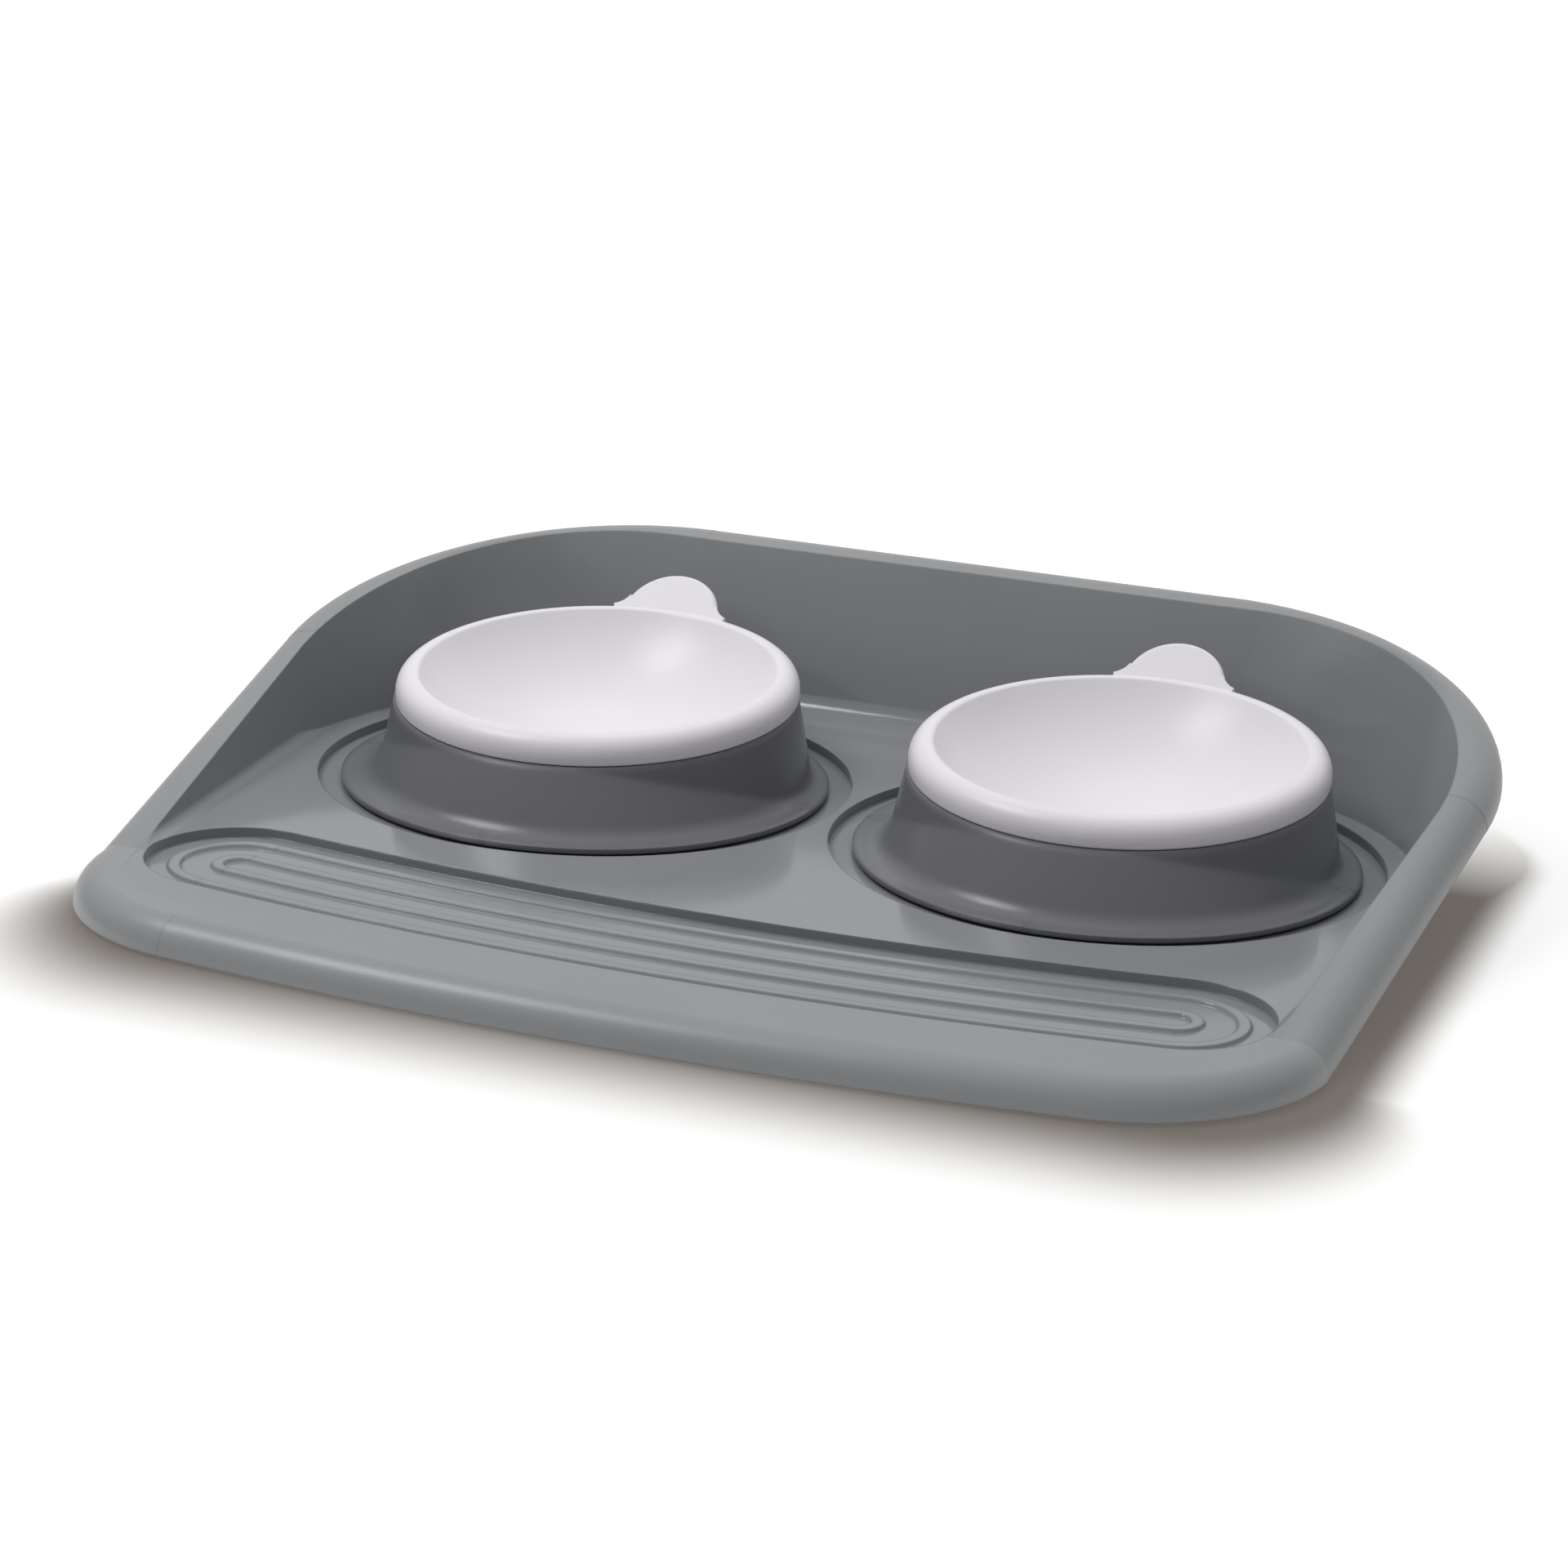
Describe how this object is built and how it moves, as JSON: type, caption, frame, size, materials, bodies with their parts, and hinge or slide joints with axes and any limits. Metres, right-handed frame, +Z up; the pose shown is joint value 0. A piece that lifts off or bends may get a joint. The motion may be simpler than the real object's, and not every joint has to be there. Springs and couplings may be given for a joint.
{
  "type": "double pet bowl",
  "caption": "Splash tray with a sloping raised rim, a ridged spill well and round recesses that hold ring stands with lift-out dish bowls, each with a finger tab.",
  "frame": {"origin": "centre of the bounding box in plan, at table level under the tray's rubber feet", "axes": "+X to the right, +Y to the high back of the tray, +Z up"},
  "size_m": [0.407, 0.329, 0.0661],
  "materials": {
    "tray_plastic": "satin moulded grey plastic",
    "stand_plastic": "satin moulded grey plastic, a shade darker than the tray",
    "bowl_plastic": "glossy near-white melamine",
    "rubber": "soft matt rubber"
  },
  "bodies": {
    "tray_body": {"tray": "tray_plastic", "front_left_foot": "rubber", "front_middle_foot": "rubber", "front_right_foot": "rubber", "back_left_foot": "rubber", "back_middle_foot": "rubber", "back_right_foot": "rubber"},
    "left_stand_body": {"left_stand": "stand_plastic", "left_stand_front_pad": "rubber", "left_stand_back_pad": "rubber", "left_stand_outer_pad": "rubber", "left_stand_inner_pad": "rubber"},
    "right_stand_body": {"right_stand": "stand_plastic", "right_stand_front_pad": "rubber", "right_stand_back_pad": "rubber", "right_stand_outer_pad": "rubber", "right_stand_inner_pad": "rubber"},
    "left_bowl_body": {"left_bowl": "bowl_plastic"},
    "right_bowl_body": {"right_bowl": "bowl_plastic"}
  },
  "joints": [
    {"name": "left_stand_lift", "type": "slide", "parent": "tray_body", "child": "left_stand_body", "axis": [0, 0, 1], "range_m": [0, 0.08]},
    {"name": "right_stand_lift", "type": "slide", "parent": "tray_body", "child": "right_stand_body", "axis": [0, 0, 1], "range_m": [0, 0.08]},
    {"name": "left_bowl_lift", "type": "slide", "parent": "left_stand_body", "child": "left_bowl_body", "axis": [0, -0.0872, 0.9962], "range_m": [0, 0.07]},
    {"name": "right_bowl_lift", "type": "slide", "parent": "right_stand_body", "child": "right_bowl_body", "axis": [0, -0.0872, 0.9962], "range_m": [0, 0.07]}
  ]
}
